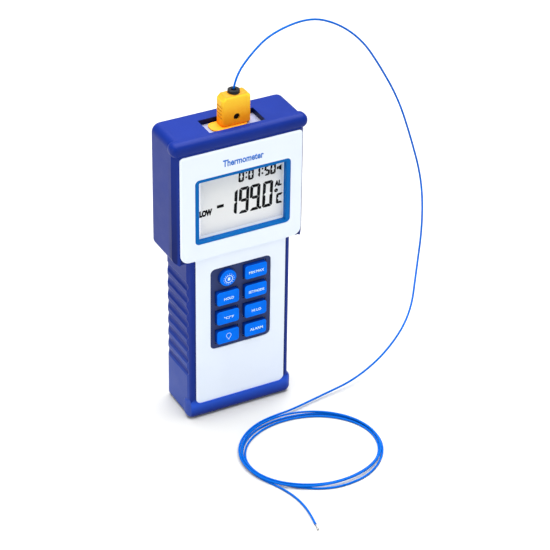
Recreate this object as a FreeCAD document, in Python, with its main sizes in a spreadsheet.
"""Hand-held digital thermocouple thermometer with a plug-in bead-wire probe.

Millimetres, +Z up, front facing -Y, origin at the centre of the base.
Each sub-part is one object of the document whose Label names its STEP file.
"""
import FreeCAD, Part
import math
import os
import Sketcher
from FreeCAD import Placement, Rotation, Vector

DIMENSIONS = {
    # overall body
    "height": 190, "head_wide": 84.5, "grip_wide": 67, "shoulder": 110,
    "face": 15.4, "back": 16.6, "proud": 1.2,
    # rubber boot
    "corner_round": 5.5, "shoulder_round": 4, "foot_round": 3,
    "rim_round": 2.2, "back_round": 3.4,
    "roll_proud": 1.3, "roll_front": 0.8, "roll_deep": 9, "roll_round": 4.1, "cuff_roll": 14,
    "side_wall": 3, "roof": 3.5, "sole": 3.5, "back_wall": 2.6, "ledge": 1.5, "lip": 2,
    "open_head": 77.8, "open_grip": 58.7, "open_top": 181.4, "open_low": 10.2,
    "head_bevel_x": 3.35, "head_bevel_y": 4.6,
    "grip_bevel_x": 1.7, "grip_bevel_y": 3.8,
    "groove_radius": 4, "groove_depth": 1.2, "groove_pitch": 8.6, "groove_first": 32.6,
    "slot_wide": 35.4, "slot_x": 0.4, "slot_front": 9.8, "slot_rear": 6,
    "window_wide": 44, "window_low": 9, "window_high": 80,
    # case shells
    "wall": 2, "front_wall": 2.2, "boss_radius": 2.4, "pilot_radius": 1.25,
    "boss_head_x": 31, "boss_head_z": 177, "boss_grip_x": 25.5, "boss_grip_z": 8.5,
    "post_x": 24, "post_low_z": 38, "post_high_z": 108, "post_radius": 1.8,
    # display
    "display_x": 0.75, "display_z": 143.7, "view_z": 143.4, "bezel_wide": 61.4, "bezel_high": 43,
    "bezel_round": 2.8, "view_wide": 56, "view_high": 39.2, "window_thick": 0.8, "glass_thick": 1.6,
    # keypad
    "panel_wide": 39.6, "panel_low": 46.4, "panel_high": 102.2, "panel_sunk": 0.5,
    "panel_thick": 0.8, "panel_round": 3.2, "key_wide": 14.6, "key_high": 9.3, "key_column": 9.1,
    "key_row": 54.5, "key_pitch": 13.5, "power_radius": 5.4, "key_gap": 0.25,
    "key_flange": 0.8, "flange_thick": 1, "cap_round": 0.7, "key_proud": 2.1,
    # board, battery and buzzer
    "board_front": 8.4, "board_thick": 1.6, "battery_wide": 26.5, "battery_deep": 17.4,
    "battery_low": 14, "battery_high": 60.4, "door_wide": 36, "door_low": 11.5, "door_high": 77,
    # probe socket and plug
    "plug_x": 2.85, "plug_y": 0.3, "plug_wide": 18.6, "plug_deep": 8.4, "plug_low": 187.5,
    "plug_high": 206.5, "pin_pitch": 7.9, "pin_thick": 0.8, "pin_wide": 3.2, "pin_narrow": 2.4,
    "pin_reach": 13, "socket_x": -1.05, "socket_y": -0.1, "socket_wide": 23.1,
    "socket_deep": 10.4, "socket_low": 172, "socket_rim": 1.6, "collar_radius": 3.55,
    # probe wire
    "wire_radius": 0.65, "coil_long": 44.2, "coil_short": 39.6, "hole_long": 38.8,
    "hole_short": 32.2, "coil_tall": 2.6, "coil_x": 16.8, "coil_y": -75.4, "coil_turn": -12,
    "bead_radius": 0.8,
}

# Wire route from the plug's collar over the arch to the coil, then from the coil to the bead.
LEAD_ROUTE = [
    (2.85, 0.3, 208.2), (5, 2, 215), (16, 6, 224), (32, 11, 232), (62, 21, 231), (87, 31, 217),
    (108, 38, 198), (124, 44, 175), (139, 45, 148), (147, 42, 122), (153, 35, 92),
    (149, 25, 66), (138, 12, 42), (124, -6, 23), (101, -18, 10), (73, -28, 4),
    (48, -31, 2), (27, -36, 2),
]
TAIL_ROUTE = [(-19, -95.5, 0.65), (-15, -104.3, 0.65), (-12.8, -114.5, 0.65),
              (-12.6, -126, 0.65), (-15, -138, 0.65)]
ARC_SHARE = 0.45        # share of the shorter run that an arc takes
GROOVES = 8             # grip grooves on each side
GROOVE_ROUND = 1.0      # radius along the mouths of the grooves
CLEAR = 4               # how far a cutting tool stands out in front of the face

doc = FreeCAD.newDocument("thermometer")
sheet = doc.addObject("Spreadsheet::Sheet", "dims")
for line, (alias, amount) in enumerate(DIMENSIONS.items(), start=1):
    sheet.set("A%d" % line, alias)
    sheet.set("B%d" % line, str(amount))
    sheet.setAlias("B%d" % line, alias)
doc.recompute()

sub_parts = []


def size(alias):
    """The driving dimension's value, for the few shapes made in code."""
    return float(sheet.get(alias))


def keep(thing, label):
    """Name a finished sub-part and put it on the list of nodes."""
    thing.Label = label
    sub_parts.append(thing)
    return thing


# ---------------------------------------------------------------- sketches and features

def sketch(body, role, level):
    """Sketch on one of the body's origin planes, shifted along its normal by an expression."""
    drawing = body.newObject("Sketcher::SketchObject", "Sketch")
    plane = [item for item in body.Origin.OriginFeatures if item.Role == role][0]
    drawing.AttachmentSupport = (plane, "")
    drawing.MapMode = "FlatFace"
    drawing.setExpression("AttachmentOffset.Base.z", level)
    return drawing


def locate(drawing, geometry, point, u, v):
    """Tie one point of a sketch to the sheet by its two distances from the origin."""
    for kind, amount in (("DistanceX", u), ("DistanceY", v)):
        rule = drawing.addConstraint(Sketcher.Constraint(kind, -1, 1, geometry, point, 1.0))
        drawing.setExpression("Constraints[%d]" % rule, amount)


def polygon(drawing, corners):
    """Closed outline through corners given as pairs of expressions."""
    first = drawing.GeometryCount
    count = len(corners)
    for n in range(count):
        start = Vector(math.cos(n), math.sin(n), 0)
        end = Vector(math.cos(n + 1), math.sin(n + 1), 0)
        drawing.addGeometry(Part.LineSegment(start, end), False)
    for n in range(count):
        following = first + (n + 1) % count
        drawing.addConstraint(Sketcher.Constraint("Coincident", first + n, 2, following, 1))
    for n, (u, v) in enumerate(corners):
        locate(drawing, first + n, 1, u, v)


def rectangle(drawing, left, right, low, high):
    polygon(drawing, [(left, low), (right, low), (right, high), (left, high)])


def circle(drawing, u, v, radius):
    ring = drawing.addGeometry(Part.Circle(Vector(1, 1, 0), Vector(0, 0, 1), 1.0), False)
    locate(drawing, ring, 3, u, v)
    rule = drawing.addConstraint(Sketcher.Constraint("Radius", ring, 1.0))
    drawing.setExpression("Constraints[%d]" % rule, radius)


def pad(body, drawing, length):
    feature = body.newObject("PartDesign::Pad", "Pad")
    feature.Profile = drawing
    feature.setExpression("Length", length)
    doc.recompute()
    return feature


def pocket(body, drawing, length):
    """Cut against the sketch's normal, and make sure that something was removed."""
    before = body.Shape.Volume
    feature = body.newObject("PartDesign::Pocket", "Pocket")
    feature.Profile = drawing
    feature.setExpression("Length", length)
    doc.recompute()
    if body.Shape.Volume > before - 1e-3:
        raise RuntimeError("the pocket in %s removes nothing" % body.Label)
    return feature


def block(body, x, y, z):
    """Pad a box; every range is a pair of expressions."""
    drawing = sketch(body, "XZ_Plane", "-(%s)" % y[1])
    rectangle(drawing, x[0], x[1], z[0], z[1])
    return pad(body, drawing, "(%s) - (%s)" % (y[1], y[0]))


def carve(body, x, y, z):
    """Pocket a box."""
    drawing = sketch(body, "XZ_Plane", "-(%s)" % y[0])
    rectangle(drawing, x[0], x[1], z[0], z[1])
    return pocket(body, drawing, "(%s) - (%s)" % (y[1], y[0]))


def drill(body, centres, radius, y):
    """Round holes along Y."""
    drawing = sketch(body, "XZ_Plane", "-(%s)" % y[0])
    for x, z in centres:
        circle(drawing, x, z, radius)
    return pocket(body, drawing, "(%s) - (%s)" % (y[1], y[0]))


def studs(body, centres, radius, y):
    """Round posts along Y."""
    drawing = sketch(body, "XZ_Plane", "-(%s)" % y[1])
    for x, z in centres:
        circle(drawing, x, z, radius)
    return pad(body, drawing, "(%s) - (%s)" % (y[1], y[0]))


def edge_names(body, test):
    """Names of the straight or curved edges whose end points and middle pass the test."""
    names = []
    for number, edge in enumerate(body.Shape.Edges, start=1):
        middle = edge.valueAt((edge.FirstParameter + edge.LastParameter) / 2)
        if test(edge.Vertexes[0].Point, middle, edge.Vertexes[-1].Point):
            names.append("Edge%d" % number)
    return names


def fillet(body, radius, test):
    base = body.Tip
    names = edge_names(body, test)
    feature = body.newObject("PartDesign::Fillet", "Fillet")
    feature.Base = (base, names)
    feature.setExpression("Radius", radius)
    doc.recompute()
    if not feature.isValid():
        raise RuntimeError("a fillet of %s fails on %s" % (radius, body.Label))
    return feature


def along(axis):
    """Test for straight edges parallel to X, Y or Z (0, 1 or 2)."""
    others = [n for n in range(3) if n != axis]

    def test(start, middle, end):
        return all(abs(start[n] - end[n]) + abs(start[n] - middle[n]) < 1e-6 for n in others) \
            and abs(start[axis] - end[axis]) > 1e-6
    return test


def at_level(axis, level):
    """Test for edges that lie in the plane where one coordinate has the given value."""
    def test(start, middle, end):
        return all(abs(point[axis] - level) < 1e-4 for point in (start, middle, end))
    return test


def new_body(label):
    body = doc.addObject("PartDesign::Body", label)
    return keep(body, label)


def span(centre, width):
    """Pair of expressions for a range about a centre."""
    return "%s - (%s) / 2" % (centre, width), "%s + (%s) / 2" % (centre, width)


# ---------------------------------------------------------------- Part primitives

def part_box(name, x, y, z):
    box = doc.addObject("Part::Box", name)
    for axis, length, ends in (("x", "Length", x), ("y", "Width", y), ("z", "Height", z)):
        box.setExpression(length, "(%s) - (%s)" % (ends[1], ends[0]))
        box.setExpression("Placement.Base.%s" % axis, ends[0])
    return box


def part_rod(name, radius, centre, length, axis="z"):
    """Cylinder from a centre point along +Y or +Z."""
    rod = doc.addObject("Part::Cylinder", name)
    turn = {"y": Rotation(Vector(1, 0, 0), -90), "z": Rotation()}[axis]
    rod.Placement = Placement(Vector(0, 0, 0), turn)
    rod.setExpression("Radius", radius)
    rod.setExpression("Height", length)
    for letter, place in zip("xyz", centre):
        rod.setExpression("Placement.Base.%s" % letter, place)
    return rod


def join(name, pieces):
    union = doc.addObject("Part::MultiFuse", name)
    union.Shapes = pieces
    return union


def cut(name, base, tool):
    result = doc.addObject("Part::Cut", name)
    result.Base = base
    result.Tool = tool
    return result


def group(label, pieces):
    """Several separate solids that share one node."""
    compound = doc.addObject("Part::Compound", label)
    compound.Links = pieces
    return keep(compound, label)


# ---------------------------------------------------------------- shared expressions

HEAD_HALF = "dims.head_wide / 2"
GRIP_HALF = "dims.grip_wide / 2"
CASE_HEAD = "dims.head_wide / 2 - dims.side_wall"
CASE_GRIP = "dims.grip_wide / 2 - dims.side_wall"
CASE_STEP = "dims.shoulder + dims.ledge"
CASE_TOP = "dims.height - dims.roof"
CASE_FRONT = "-dims.face + dims.lip"
CASE_BACK = "dims.back - dims.back_wall"
INNER_FRONT = "-dims.face + dims.front_wall"
INNER_BACK = "dims.back - dims.back_wall - dims.wall"
BOARD_BACK = "-dims.board_front + dims.board_thick"
CASE_BOSSES = [("dims.boss_head_x", "dims.boss_head_z"), ("-dims.boss_head_x", "dims.boss_head_z"),
               ("dims.boss_grip_x", "dims.boss_grip_z"), ("-dims.boss_grip_x", "dims.boss_grip_z")]
BOARD_POSTS = [("dims.post_x", "dims.post_low_z"), ("-dims.post_x", "dims.post_low_z"),
               ("dims.post_x", "dims.post_high_z"), ("-dims.post_x", "dims.post_high_z")]


def tee(grip, head, low, step, high, inset="0"):
    """Outline of the narrow grip with the wider head on it, inset all round."""
    return [("-(%s) + %s" % (grip, inset), "%s + %s" % (low, inset)),
            ("%s - %s" % (grip, inset), "%s + %s" % (low, inset)),
            ("%s - %s" % (grip, inset), "%s + %s" % (step, inset)),
            ("%s - %s" % (head, inset), "%s + %s" % (step, inset)),
            ("%s - %s" % (head, inset), "%s - %s" % (high, inset)),
            ("-(%s) + %s" % (head, inset), "%s - %s" % (high, inset)),
            ("-(%s) + %s" % (head, inset), "%s + %s" % (step, inset)),
            ("-(%s) + %s" % (grip, inset), "%s + %s" % (step, inset))]


def tee_pad(body, outline, front, rear):
    drawing = sketch(body, "XZ_Plane", "-(%s)" % rear)
    polygon(drawing, outline)
    return pad(body, drawing, "(%s) - (%s)" % (rear, front))


def tee_pocket(body, outline, front, rear):
    drawing = sketch(body, "XZ_Plane", "-(%s)" % front)
    polygon(drawing, outline)
    return pocket(body, drawing, "(%s) - (%s)" % (rear, front))


CASE_OUTLINE = tee(CASE_GRIP, CASE_HEAD, "dims.sole", CASE_STEP, CASE_TOP)
FACE_OUTLINE = tee("dims.open_grip / 2", "dims.open_head / 2", "dims.open_low", CASE_STEP,
                   "dims.open_top")
HOLLOW_OUTLINE = tee(CASE_GRIP, CASE_HEAD, "dims.sole", CASE_STEP, CASE_TOP, "dims.wall")


# ---------------------------------------------------------------- boot and case

def bevel_wedge(body, half, bevel_x, bevel_y, top, bottom):
    """Flat bevel down both front vertical edges, between two heights."""
    drawing = sketch(body, "XY_Plane", top)
    for sign in ("", "-"):
        inner, edge, outer = ["%s(%s + %s)" % (sign, half, more) for more in
                              ("(-%s)" % bevel_x, "0", "3")]
        polygon(drawing, [(inner, "-dims.face"), (inner, "-dims.face - 3"),
                          (outer, "-dims.face - 3"), (outer, "-dims.face + %s" % bevel_y),
                          (edge, "-dims.face + %s" % bevel_y)])
    return pocket(body, drawing, "(%s) - (%s)" % (top, bottom))


FACE_CORNERS = (("5.5", "open_head", "step"), ("2", "open_head", "top"), ("3.5", "open_grip", "low"),
                ("1.5", "open_grip", "step"))


def round_face_corners(body):
    """Round the corners of the white face, or of the boot's opening round it."""
    heights = {"step": size("shoulder") + size("ledge"), "top": size("open_top"),
               "low": size("open_low")}
    for radius, wide, level in FACE_CORNERS:
        half, height = size(wide) / 2, heights[level]
        fillet(body, radius,
               lambda a, m, b: along(1)(a, m, b) and m.y < 2 - size("face")
               and abs(abs(m.x) - half) < 0.01 and abs(m.z - height) < 0.01)


def rubber_boot():
    """Boot with a full, rounded cap and cuff; the case, the face and the grooves are cut out."""
    whole = tee(GRIP_HALF, HEAD_HALF, "0", "dims.shoulder", "dims.height")
    outline = doc.addObject("PartDesign::Body", "BootOutline")
    tee_pad(outline, whole, "-dims.face", "dims.back")
    head, grip = size("head_wide") / 2, size("grip_wide") / 2
    for radius, half, height in (("dims.corner_round", head, size("height")),
                                 ("dims.shoulder_round", head, size("shoulder")),
                                 ("2", grip, size("shoulder")), ("dims.foot_round", grip, 0)):
        fillet(outline, radius, lambda a, m, b: along(1)(a, m, b)
               and abs(m.z - height) < 0.01 and abs(abs(m.x) - half) < 0.01)
    fillet(outline, "dims.back_round", at_level(1, size("back")))

    body = doc.addObject("PartDesign::Body", "BootPlan")
    tee_pad(body, whole, "-dims.face", "dims.back")
    fillet(body, "2", lambda a, m, b: along(1)(a, m, b) and abs(m.z - size("shoulder")) < 0.01)
    bevel_wedge(body, HEAD_HALF, "dims.head_bevel_x", "dims.head_bevel_y", "dims.height + 1",
                "dims.shoulder - 1")
    bevel_wedge(body, GRIP_HALF, "dims.grip_bevel_x", "dims.grip_bevel_y", "dims.shoulder", "-1")
    front_edges = at_level(1, -size("face"))
    fillet(body, "dims.rim_round",
           lambda a, m, b: front_edges(a, m, b) and 1 < m.z < size("height") - 1)
    rounded = doc.addObject("Part::MultiCommon", "BootBlock")
    rounded.Shapes = [outline, body]
    seats = [part_box("RollSeat", ("-dims.head_wide", "dims.head_wide"),
                      ("-dims.face - 1", "-dims.face + dims.roll_deep / 2"), z)
             for z in (("dims.height - 5", "dims.height + 1"), ("-1", "5"))]
    seated = cut("SeatedBlock", rounded, join("RollSeats", seats))
    cap = roll("CapRoll", HEAD_HALF, ("dims.open_top - 0.2", "dims.height"))
    cuff = roll("CuffRoll", GRIP_HALF, ("0", "dims.cuff_roll"))
    outside = join("BootOutside", [seated, cap, cuff])

    hollow = doc.addObject("PartDesign::Body", "CaseBlank")
    tee_pad(hollow, CASE_OUTLINE, CASE_FRONT, CASE_BACK)
    window = part_box("RearWindow", ("-dims.window_wide / 2", "dims.window_wide / 2"),
                      (CASE_BACK + " - 1", "dims.back + 1"), ("dims.window_low", "dims.window_high"))
    slot = part_box("RoofSlot", span("dims.slot_x", "dims.slot_wide"),
                    ("-dims.slot_front", "dims.slot_rear"), (CASE_TOP + " - 1", "dims.height + 1"))
    tools = join("BootTools", [hollow, window, slot, grip_grooves(), face_blank()])
    carved = cut("CarvedBoot", outside, tools)
    doc.recompute()
    side = size("grip_wide") / 2
    soft_edges = []
    for number, edge in enumerate(carved.Shape.Edges, start=1):
        points = [vertex.Point for vertex in edge.Vertexes]
        points.append(edge.valueAt((edge.FirstParameter + edge.LastParameter) / 2))
        if all(abs(abs(point.x) - side) < 1e-3 and 28 < point.z < 97 for point in points):
            if -size("face") + 1 < points[-1].y < size("back") - 3.1:
                soft_edges.append((number, GROOVE_ROUND, GROOVE_ROUND))
    boot = doc.addObject("Part::Fillet", "Boot")
    boot.Base = carved
    boot.Edges = soft_edges
    keep(boot, "rubber_boot")


def roll(name, half, z):
    """Rounded bar across the front of the boot, standing a little proud of it at both ends."""
    body = doc.addObject("PartDesign::Body", name)
    reach = "(%s + dims.roll_proud)" % half
    block(body, ("-" + reach, reach), ("-dims.face - dims.roll_front", "-dims.face + dims.roll_deep"),
          z)
    for test in (along(1), at_level(1, -size("face") - size("roll_front")),
                 at_level(1, size("roll_deep") - size("face"))):
        fillet(body, "dims.roll_round", test)
    return body


def face_blank():
    """Prism of the boot's front opening."""
    body = doc.addObject("PartDesign::Body", "FaceBlank")
    tee_pad(body, FACE_OUTLINE, "-dims.face - %d" % CLEAR, CASE_FRONT)
    round_face_corners(body)
    return body


def grip_grooves():
    """Rounded scoops across both sides of the grip, closed by a ball at the front end."""
    scoops = []
    reach = "dims.grip_wide / 2 + dims.groove_radius - dims.groove_depth"
    for row in range(GROOVES):
        height = "dims.groove_first + %d * dims.groove_pitch" % row
        for sign in ("", "-"):
            scoops.append(part_rod("Scoop", "dims.groove_radius",
                                   ("%s(%s)" % (sign, reach), "-dims.face + 4.5", height),
                                   "dims.face + dims.back", "y"))
            ball = doc.addObject("Part::Sphere", "ScoopEnd")
            ball.setExpression("Radius", "dims.groove_radius")
            ball.setExpression("Placement.Base.x", "%s(%s)" % (sign, reach))
            ball.setExpression("Placement.Base.y", "-dims.face + 4.5")
            ball.setExpression("Placement.Base.z", height)
            scoops.append(ball)
    return join("GripGrooves", scoops)


def front_case():
    body = new_body("front_case")
    tee_pad(body, CASE_OUTLINE, CASE_FRONT, "0")
    tee_pad(body, FACE_OUTLINE, "-dims.face", CASE_FRONT)
    block(body, ("-dims.open_head / 2", "dims.open_head / 2"),
          ("-dims.face - dims.proud", "-dims.face"), (CASE_STEP, "dims.open_top"))
    round_face_corners(body)
    fillet(body, "0.8", at_level(1, -size("face") - size("proud")))
    tee_pocket(body, HOLLOW_OUTLINE, INNER_FRONT, "0")
    carve(body, span("dims.display_x", "dims.bezel_wide"),
          ("-dims.face - dims.proud", INNER_FRONT), span("dims.display_z", "dims.bezel_high"))
    foot = size("display_z") - size("bezel_high") / 2
    fillet(body, "dims.bezel_round", lambda a, m, b: along(1)(a, m, b)
           and abs(abs(m.x - size("display_x")) - size("bezel_wide") / 2) < 0.01
           and foot - 1 < m.z < foot + size("bezel_high") + 1)
    carve(body, ("-dims.panel_wide / 2", "dims.panel_wide / 2"),
          ("-dims.face", "-dims.face + dims.panel_sunk + dims.panel_thick"),
          ("dims.panel_low", "dims.panel_high"))
    fillet(body, "dims.panel_round", lambda a, m, b: along(1)(a, m, b)
           and abs(abs(m.x) - size("panel_wide") / 2) < 0.01
           and size("panel_low") - 1 < m.z < size("panel_high") + 1)
    key_holes(body, "-dims.face + dims.panel_sunk + dims.panel_thick", INNER_FRONT)
    studs(body, CASE_BOSSES, "dims.boss_radius", (INNER_FRONT, "0"))
    drill(body, CASE_BOSSES, "dims.pilot_radius", ("%s + 1" % INNER_FRONT, "0"))
    studs(body, BOARD_POSTS, "dims.post_radius", (INNER_FRONT, "-dims.board_front"))
    drill(body, BOARD_POSTS, "0.9", ("%s + 1" % INNER_FRONT, "-dims.board_front"))
    drawing = sketch(body, "XY_Plane", CASE_TOP)
    rectangle(drawing, *span("dims.socket_x", "dims.socket_wide - 2 * dims.socket_rim"),
              "dims.socket_y - dims.socket_deep / 2 + dims.socket_rim", "0")
    pocket(body, drawing, "dims.wall")


def rear_case():
    body = new_body("rear_case")
    tee_pad(body, CASE_OUTLINE, "0", CASE_BACK)
    tee_pocket(body, HOLLOW_OUTLINE, "0", INNER_BACK)
    studs(body, CASE_BOSSES, "dims.boss_radius + 0.8", ("0", INNER_BACK))
    drill(body, CASE_BOSSES, "dims.pilot_radius + 0.25", ("0", CASE_BACK))
    drill(body, CASE_BOSSES, "2.8", ("%s - 1.8" % CASE_BACK, CASE_BACK))
    carve(body, span("0", "dims.door_wide + 0.6"), (INNER_BACK, CASE_BACK),
          ("dims.door_low - 0.3", "dims.door_high + 0.3"))
    bay = "dims.battery_wide / 2 + 0.5"
    for ends in ((bay, "%s + 1.2" % bay), ("-(%s + 1.2)" % bay, "-(%s)" % bay)):
        block(body, ends, ("%s + 0.2" % BOARD_BACK, INNER_BACK),
              ("dims.sole + dims.wall", "dims.battery_high + 6"))
    block(body, ("-(%s)" % bay, bay), ("%s + 0.2" % BOARD_BACK, "%s + 1.1" % BOARD_BACK),
          ("dims.sole + dims.wall", "dims.battery_high + 6"))
    drawing = sketch(body, "XY_Plane", CASE_TOP)
    rectangle(drawing, *span("dims.socket_x", "dims.socket_wide - 2 * dims.socket_rim"), "0",
              "dims.socket_y + dims.socket_deep / 2 - dims.socket_rim")
    pocket(body, drawing, "dims.wall")


def case_screws():
    screws = []
    for x, z in CASE_BOSSES:
        head = part_rod("Head", "2.5", (x, "%s - 1.7" % CASE_BACK, z), "1.6", "y")
        shank = part_rod("Shank", "dims.pilot_radius - 0.05", (x, "-8", z),
                         "%s - 1.7 + 8" % CASE_BACK, "y")
        screws.append(join("CaseScrew", [head, shank]))
    group("case_screws", screws)


def board_screws():
    screws = []
    for x, z in BOARD_POSTS:
        head = part_rod("Head", "1.7", (x, BOARD_BACK, z), "1.2", "y")
        shank = part_rod("Shank", "0.85", (x, "-dims.board_front - 3.2", z),
                         "3.2 + dims.board_thick", "y")
        screws.append(join("BoardScrew", [head, shank]))
    group("board_screws", screws)


# ---------------------------------------------------------------- display

def display_bezel():
    body = new_body("display_bezel")
    wide = span("dims.display_x", "dims.bezel_wide")
    high = span("dims.display_z", "dims.bezel_high")
    block(body, wide, ("-dims.face - dims.proud + 0.2", "-dims.face + 2.4"), high)
    fillet(body, "dims.bezel_round", along(1))
    carve(body, span("dims.display_x", "dims.view_wide"),
          ("-dims.face - dims.proud + 0.2", "-dims.face + 2.4"),
          span("dims.view_z", "dims.view_high"))
    fillet(body, "0.8", lambda a, m, b: along(1)(a, m, b)
           and abs(m.z - size("view_z")) < size("view_high") / 2 + 0.2)
    fillet(body, "0.3", at_level(1, 0.2 - size("face") - size("proud")))


def display_stack():
    """Window, liquid crystal glass, light guide and the frame that holds them on the board."""
    inner_wide, inner_high = "dims.bezel_wide", "dims.bezel_high + 3.2"
    wide, high = span("dims.display_x", inner_wide), span("dims.display_z", inner_high)
    window_back = "-dims.face + 2.4 + dims.window_thick"
    glass_back = "%s + dims.glass_thick" % window_back

    window = part_box("Window", span("dims.display_x", "dims.bezel_wide"),
                      ("-dims.face + 2.4", window_back), span("dims.display_z", "dims.bezel_high"))
    keep(window, "display_window")
    glass = part_box("Glass", wide, (window_back, glass_back), high)
    keep(glass, "lcd_panel")
    guide = part_box("Guide", span("dims.display_x", "dims.view_wide"),
                     ("%s + 0.1" % glass_back, "-dims.board_front - 0.2"),
                     span("dims.display_z", "dims.view_high"))
    keep(guide, "backlight_panel")

    holder = new_body("lcd_holder")
    block(holder, span("dims.display_x", inner_wide + " + 5"), (INNER_FRONT, "-dims.board_front"),
          span("dims.display_z", inner_high + " + 3.6"))
    carve(holder, wide, (INNER_FRONT, "-dims.board_front"), high)

    strips = []
    for side in ("-", ""):
        middle = "dims.display_z %s (%s) / 2" % (side or "+", inner_high + " - 2.4")
        strips.append(part_box("Strip", span("dims.display_x", "50"),
                               (glass_back, "-dims.board_front"), span(middle, "2")))
    group("zebra_strips", strips)


# ---------------------------------------------------------------- keypad

KEYS = {
    "key_power": (-1, 3), "key_hold": (-1, 2), "key_units": (-1, 1), "key_light": (-1, 0),
    "key_min_max": (1, 3), "key_set_mode": (1, 2), "key_high_low": (1, 1), "key_alarm": (1, 0),
}


def key_place(column, row):
    return "%d * dims.key_column" % column, "dims.key_row + %d * dims.key_pitch" % row


def key_holes(body, front, rear):
    for label, (column, row) in KEYS.items():
        x, z = key_place(column, row)
        if label == "key_power":
            drill(body, [(x, z)], "dims.power_radius + dims.key_gap", (front, rear))
        else:
            carve(body, span(x, "dims.key_wide + 2 * dims.key_gap"), (front, rear),
                  span(z, "dims.key_high + 2 * dims.key_gap"))


def keypad_plate():
    body = new_body("keypad_plate")
    front = "-dims.face + dims.panel_sunk"
    rear = "%s + dims.panel_thick" % front
    block(body, ("-dims.panel_wide / 2", "dims.panel_wide / 2"), (front, rear),
          ("dims.panel_low", "dims.panel_high"))
    fillet(body, "dims.panel_round", along(1))
    key_holes(body, front, rear)


def key_cap(label, column, row):
    body = new_body(label)
    x, z = key_place(column, row)
    cap = ("-dims.face - dims.key_proud", "%s + 0.1" % INNER_FRONT)
    flange = (cap[1], "%s + dims.flange_thick" % cap[1])
    if label == "key_power":
        studs(body, [(x, z)], "dims.power_radius", cap)
    else:
        block(body, span(x, "dims.key_wide"), cap, span(z, "dims.key_high"))
        fillet(body, "1.8", along(1))
    fillet(body, "dims.cap_round", at_level(1, -size("face") - size("key_proud")))
    if label == "key_power":
        studs(body, [(x, z)], "dims.power_radius + dims.key_flange", flange)
    else:
        block(body, span(x, "dims.key_wide + 2 * dims.key_flange"), flange,
              span(z, "dims.key_high + 2 * dims.key_flange"))


def keypad_mat():
    body = new_body("keypad_mat")
    block(body, ("-21", "21"), ("-dims.board_front - 1.6", "-dims.board_front"),
          ("dims.panel_low - 2", "dims.panel_high + 1"))
    places = [key_place(column, row) for column, row in KEYS.values()]
    studs(body, places, "3.4", ("-dims.board_front - 2.2", "-dims.board_front - 1.6"))
    studs(body, places, "2.6", ("-dims.board_front - 2.6", "-dims.board_front - 2.2"))


# ---------------------------------------------------------------- board, battery and buzzer

def main_board():
    body = new_body("main_board")
    tee_pad(body, tee("26", "34.5", "12", CASE_STEP + " + 3.5", "170"),
            "-dims.board_front", BOARD_BACK)
    drill(body, BOARD_POSTS, "0.9", ("-dims.board_front", BOARD_BACK))


def board_components():
    """Chips, crystal, capacitors and the cold-junction sensor on the board's rear face."""
    places = [("0", "98", "12", "12", "1.7"), ("-17", "96", "7", "9", "2"),
              ("16", "92", "8", "5", "1.8"), ("18", "118", "9", "6", "1.6"),
              ("-3", "128", "14", "9", "1.6"), ("-8", "164", "5", "4", "1.4"),
              ("6", "164", "4", "3", "1.2"), ("-16", "82", "6", "4", "2.2")]
    chips = [part_box("Chip", span(x, wide), (BOARD_BACK, "%s + %s" % (BOARD_BACK, tall)),
                      span(z, high)) for x, z, wide, high, tall in places]
    cans = [part_rod("Can", "2.4", (x, BOARD_BACK, "112"), "5.5", "y") for x in ("-20", "-13")]
    crystal = part_rod("Crystal", "1.5", ("4", BOARD_BACK, "112"), "3", "y")
    group("board_components", chips + cans + [crystal])


def buzzer():
    case = part_rod("BuzzerCase", "6.5", ("20", BOARD_BACK, "150"), "6", "y")
    vent = part_rod("BuzzerVent", "1", ("20", "%s + 4" % BOARD_BACK, "150"), "3", "y")
    keep(cut("Buzzer", case, vent), "buzzer")


BATTERY_Y = ("%s + 1.2" % BOARD_BACK, "%s + 1.2 + dims.battery_deep" % BOARD_BACK)
BATTERY_MIDDLE = "%s + 1.2 + dims.battery_deep / 2" % BOARD_BACK


def battery():
    body = new_body("battery")
    block(body, span("0", "dims.battery_wide"), BATTERY_Y, ("dims.battery_low", "dims.battery_high"))
    fillet(body, "2", along(2))
    for x, radius in (("-6.35", "2.9"), ("6.35", "4")):
        drawing = sketch(body, "XY_Plane", "dims.battery_high")
        circle(drawing, x, BATTERY_MIDDLE, radius)
        pad(body, drawing, "2.1")


def battery_snap():
    """Snap connector over the two terminals, with its pair of leads to the board."""
    low = "dims.battery_high + 2.1"
    plate = part_box("SnapPlate", span("0", "25"), span(BATTERY_MIDDLE, "11.5"),
                     (low, "%s + 2.8" % low))
    keep(plate, "battery_snap")
    top = size("battery_high") + 4.9
    middle = -size("board_front") + size("board_thick") + 1.2 + size("battery_deep") / 2
    board = -size("board_front") + size("board_thick")
    leads = []
    for x in (-4, 4):
        route = [(x, middle, top), (x, middle, top + 10), (x, board, top + 10)]
        leads.append(tube("Lead", route, 0.6))
    group("battery_leads", leads)


def battery_door():
    body = new_body("battery_door")
    block(body, span("0", "dims.door_wide"), (INNER_BACK + " + 0.05", CASE_BACK),
          ("dims.door_low", "dims.door_high"))
    drill(body, [("0", "dims.door_high - 4")], "1.6", (INNER_BACK, CASE_BACK))
    drill(body, [("0", "dims.door_high - 4")], "2.8", (CASE_BACK + " - 1.2", CASE_BACK))
    for row in range(5):
        carve(body, span("0", "16"), (CASE_BACK + " - 0.5", CASE_BACK),
              span("dims.door_low + 10 + %d * 2.4" % row, "1.2"))


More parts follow.
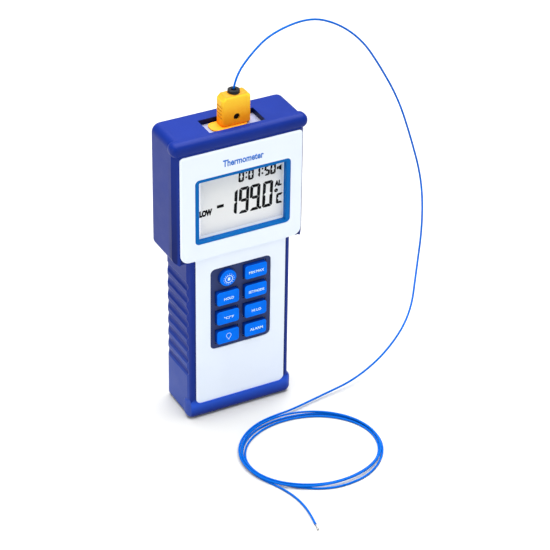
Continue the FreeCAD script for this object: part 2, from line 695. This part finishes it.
def battery_door_screw():
    head = part_rod("Head", "2.5", ("0", CASE_BACK + " - 1.2", "dims.door_high - 4"), "1", "y")
    shank = part_rod("Shank", "1.4", ("0", CASE_BACK + " - 5", "dims.door_high - 4"), "4", "y")
    slot = part_box("Slot", span("0", "4"), (CASE_BACK + " - 0.7", CASE_BACK),
                    span("dims.door_high - 4", "0.6"))
    keep(cut("DoorScrew", join("DoorScrewBlank", [head, shank]), slot), "battery_door_screw")


# ---------------------------------------------------------------- probe socket and plug

def pin_places():
    """Middle, blade width of the wide and the narrow pin."""
    return (("dims.plug_x - dims.pin_pitch / 2", "dims.pin_wide"),
            ("dims.plug_x + dims.pin_pitch / 2", "dims.pin_narrow"))


def socket_insert():
    body = new_body("socket_insert")
    block(body, span("dims.socket_x", "dims.socket_wide - 2 * dims.socket_rim"),
          span("dims.socket_y", "dims.socket_deep - 2 * dims.socket_rim"),
          ("dims.socket_low", CASE_TOP))
    drawing = sketch(body, "XY_Plane", CASE_TOP)
    rectangle(drawing, *span("dims.socket_x", "dims.socket_wide"),
              *span("dims.socket_y", "dims.socket_deep"))
    pad(body, drawing, "0.9")
    top = size("height") - size("roof") + 0.9
    fillet(body, "4", lambda a, m, b: along(2)(a, m, b) and m.z > top - 0.9)
    fillet(body, "0.3", at_level(2, top))
    drawing = sketch(body, "XY_Plane", CASE_TOP + " + 0.9")
    for middle, wide in pin_places():
        rectangle(drawing, *span(middle, wide + " + 0.3"),
                  *span("dims.plug_y", "dims.pin_thick + 0.3"))
    pocket(body, drawing, CASE_TOP + " + 0.9 - dims.socket_low")
    drawing = sketch(body, "XY_Plane", "%s - 2" % CASE_TOP)
    for middle, wide in pin_places():
        rectangle(drawing, *span(middle, wide + " + 0.3"),
                  *span("dims.plug_y", "dims.pin_thick + 2.4"))
    pocket(body, drawing, CASE_TOP + " - 2 - dims.socket_low")


def socket_contacts():
    """Two pairs of spring leaves, one each side of a pin, with a tail to the board."""
    contacts = []
    low = "dims.socket_low - 1.6"
    for middle, wide in pin_places():
        across = span(middle, wide)
        leaves = [part_box("Leaf", across, ("dims.plug_y - 1", "dims.plug_y - 0.6"),
                           (low, CASE_TOP + " - 2.2")),
                  part_box("Leaf", across, ("dims.plug_y + 0.6", "dims.plug_y + 1"),
                           (low, CASE_TOP + " - 2.2"))]
        bridge = part_box("Bridge", across, ("dims.plug_y - 1", "dims.plug_y + 1"),
                          (low, low + " + 0.4"))
        tail = part_box("Tail", span(middle, "1.2"), (BOARD_BACK, "dims.plug_y - 1"),
                        (low, low + " + 0.4"))
        foot = part_box("Foot", span(middle, "1.2"), (BOARD_BACK, BOARD_BACK + " + 0.4"),
                        ("dims.socket_low - 5", low + " + 0.4"))
        contacts.append(join("Contact", leaves + [bridge, tail, foot]))
    group("socket_contacts", contacts)


def plug_half(label, front, rear, cavity):
    """One half of the plug's moulding: sloped shoulders, ridged sides and a hollow inside."""
    body = new_body(label)
    half = "dims.plug_wide / 2"
    drawing = sketch(body, "XZ_Plane", "-(%s)" % rear)
    polygon(drawing, [("dims.plug_x - " + half, "dims.plug_low"),
                      ("dims.plug_x + " + half, "dims.plug_low"),
                      ("dims.plug_x + " + half, "dims.plug_high - 2.4"),
                      ("dims.plug_x + 6.9", "dims.plug_high"),
                      ("dims.plug_x - 6.9", "dims.plug_high"),
                      ("dims.plug_x - " + half, "dims.plug_high - 2.4")])
    pad(body, drawing, "(%s) - (%s)" % (rear, front))
    outer = size("plug_y") - size("plug_deep") / 2 if label == "plug_cover" \
        else size("plug_y") + size("plug_deep") / 2
    shoulder = size("plug_high") - 2.5
    fillet(body, "1.6", lambda a, m, b: along(1)(a, m, b) and m.z > 190)
    fillet(body, "1.9", lambda a, m, b: at_level(1, outer)(a, m, b) and m.z > shoulder)
    fillet(body, "0.6", lambda a, m, b: at_level(1, outer)(a, m, b) and m.z < shoulder)
    drawing = sketch(body, "XZ_Plane", "-(%s)" % front)
    for row in range(4):
        height = "dims.plug_low + 5.5 + %d * 2.3" % row
        for side in ("-", "+"):
            edge = "dims.plug_x %s %s" % (side, half)
            rectangle(drawing, *span(edge, "1"), *span(height, "1"))
    pocket(body, drawing, "(%s) - (%s)" % (rear, front))
    carve(body, span("dims.plug_x", "12.4"), cavity, ("dims.plug_low + 1.5", "dims.plug_high - 5"))
    return body


def plug():
    low, high = span("dims.plug_y", "dims.plug_deep")
    hole = [("dims.plug_x", "dims.plug_low + 5.2")]
    neck = "2.5"
    cover = plug_half("plug_cover", low, "dims.plug_y", ("dims.plug_y - 1.9", "dims.plug_y"))
    drill(cover, hole, "2", (low, "dims.plug_y - 2.2"))
    drill(cover, hole, "1.1", ("dims.plug_y - 2.2", "dims.plug_y - 1.9"))
    base = plug_half("plug_body", "dims.plug_y", high, ("dims.plug_y", "dims.plug_y + 1.9"))
    drill(base, hole, "1", ("dims.plug_y + 1.9", "dims.plug_y + 3.4"))
    for half, front, rear in ((cover, low, "dims.plug_y"), (base, "dims.plug_y", high)):
        pins_and_neck(half, neck)


def pins_and_neck(body, neck):
    """Bore for the cable collar at the top, and slots for the pins at the bottom."""
    drawing = sketch(body, "XY_Plane", "dims.plug_high")
    circle(drawing, "dims.plug_x", "dims.plug_y", neck)
    pocket(body, drawing, "5.2")
    drawing = sketch(body, "XY_Plane", "dims.plug_low + 1.6")
    for middle, wide in pin_places():
        rectangle(drawing, *span(middle, wide), *span("dims.plug_y", "dims.pin_thick"))
    pocket(body, drawing, "1.6")


def plug_pins():
    for label, (middle, wide) in zip(("plug_pin_wide", "plug_pin_narrow"), pin_places()):
        blade = part_box("Blade", span(middle, wide), span("dims.plug_y", "dims.pin_thick"),
                         ("dims.plug_low - dims.pin_reach", "dims.plug_low + 11"))
        eye = part_rod("Eye", "0.8", (middle, "dims.plug_y - 1", "dims.plug_low + 8.5"), "2", "y")
        keep(cut("Pin", blade, eye), label)


def plug_screw():
    head = part_rod("Head", "1.9", ("dims.plug_x", "dims.plug_y - 3.1", "dims.plug_low + 5.2"),
                    "0.9", "y")
    shank = part_rod("Shank", "0.95", ("dims.plug_x", "dims.plug_y - 2.2", "dims.plug_low + 5.2"),
                     "5.2", "y")
    keep(join("PlugScrew", [head, shank]), "plug_screw")


def cable_collar():
    collar = part_rod("Collar", "dims.collar_radius", ("dims.plug_x", "dims.plug_y", "dims.plug_high"),
                      "1.7")
    neck = part_rod("Neck", "2.5", ("dims.plug_x", "dims.plug_y", "dims.plug_high - 5"), "5")
    bore = part_rod("Bore", "1.5", ("dims.plug_x", "dims.plug_y", "dims.plug_high + 0.7"), "2")
    keep(cut("CableCollar", join("CollarBlank", [collar, neck]), bore), "cable_collar")


# ---------------------------------------------------------------- probe wire

def tube(name, route, radius):
    """Round tube along straight runs joined by tangent arcs."""
    points = [Vector(*point) for point in route]
    edges = []
    start = points[0]
    for before, corner, after in zip(points, points[1:], points[2:]):
        arriving, leaving = (corner - before), (after - corner)
        turn = arriving.getAngle(leaving)
        setback = ARC_SHARE * min(arriving.Length, leaving.Length)
        bend = setback / math.tan(turn / 2)
        print("%s: turn %.0f deg, radius %.1f mm" % (name, math.degrees(turn), bend))
        first = corner - arriving.normalize() * setback
        last = corner + leaving.normalize() * setback
        towards = (first + last) * 0.5 - corner
        middle = corner + towards.normalize() * (bend / math.cos(turn / 2) - bend)
        edges.append(Part.LineSegment(start, first).toShape())
        edges.append(Part.Arc(first, middle, last).toShape())
        start = last
    edges.append(Part.LineSegment(start, points[-1]).toShape())
    path = Part.Wire(edges)
    heading = points[1] - points[0]
    section = Part.Wire(Part.Circle(points[0], heading, radius).toShape())
    solid = path.makePipeShell([section], True, True)
    expected = math.pi * radius ** 2 * path.Length
    print("%s: length %.1f mm, volume %.1f of %.1f" % (name, path.Length, solid.Volume, expected))
    if abs(solid.Volume / expected - 1) > 0.02:
        raise RuntimeError("the tube %s has the wrong volume" % name)
    feature = doc.addObject("Part::Feature", name)
    feature.Shape = solid
    return feature


def probe_coil():
    """Outer shape of the loose oval coil lying in front of the body."""
    rings = []
    for name, long, short in (("CoilOuter", "dims.coil_long", "dims.coil_short"),
                              ("CoilHole", "dims.hole_long", "dims.hole_short")):
        oval = doc.addObject("Part::Ellipse", name)
        oval.setExpression("MajorRadius", long)
        oval.setExpression("MinorRadius", short)
        oval.Placement = Placement(Vector(0, 0, 0), Rotation(Vector(0, 0, 1), size("coil_turn")))
        oval.setExpression("Placement.Base.x", "dims.coil_x")
        oval.setExpression("Placement.Base.y", "dims.coil_y")
        slab = doc.addObject("Part::Extrusion", name + "Slab")
        slab.Base = oval
        slab.DirMode = "Custom"
        slab.Dir = Vector(0, 0, 1)
        slab.setExpression("LengthFwd", "dims.coil_tall")
        slab.Solid = True
        rings.append(slab)
    keep(cut("Coil", *rings), "probe_coil")


def probe_bead():
    """Welded bead on the bared end of the two conductors."""
    end, before = Vector(*TAIL_ROUTE[-1]), Vector(*TAIL_ROUTE[-2])
    heading = (end - before).normalize()
    core = Part.makeCylinder(size("wire_radius") * 0.7, 4.5, end, heading)
    bead = Part.makeSphere(size("bead_radius"), end + heading * 4.6 + Vector(0, 0, 0.15))
    feature = doc.addObject("Part::Feature", "Bead")
    feature.Shape = core.fuse(bead).removeSplitter()
    keep(feature, "probe_bead")


# ---------------------------------------------------------------- build and write

def build():
    rubber_boot()
    front_case()
    rear_case()
    case_screws()
    display_bezel()
    display_stack()
    keypad_plate()
    keypad_mat()
    for label, (column, row) in KEYS.items():
        key_cap(label, column, row)
    main_board()
    board_screws()
    board_components()
    buzzer()
    battery()
    battery_snap()
    battery_door()
    battery_door_screw()
    socket_insert()
    socket_contacts()
    plug()
    plug_pins()
    plug_screw()
    cable_collar()
    keep(tube("ProbeLead", LEAD_ROUTE, size("wire_radius")), "probe_lead")
    probe_coil()
    keep(tube("ProbeTail", TAIL_ROUTE, size("wire_radius")), "probe_tail")
    probe_bead()
    doc.recompute()


def write():
    for thing in doc.Objects:
        if "Invalid" in thing.State or "Error" in thing.State:
            raise RuntimeError("%s (%s) failed" % (thing.Name, thing.Label))
    for thing in sub_parts:
        if thing.Shape.isNull() or not thing.Shape.isValid():
            raise RuntimeError("%s has no valid shape" % thing.Label)
    os.makedirs("parts", exist_ok=True)
    for thing in sub_parts:
        thing.Shape.exportStep("parts/%s.step" % thing.Label)
        solids = len(thing.Shape.Solids)
        print("%-20s solids %d, volume %.1f" % (thing.Label, solids, thing.Shape.Volume))


build()
write()
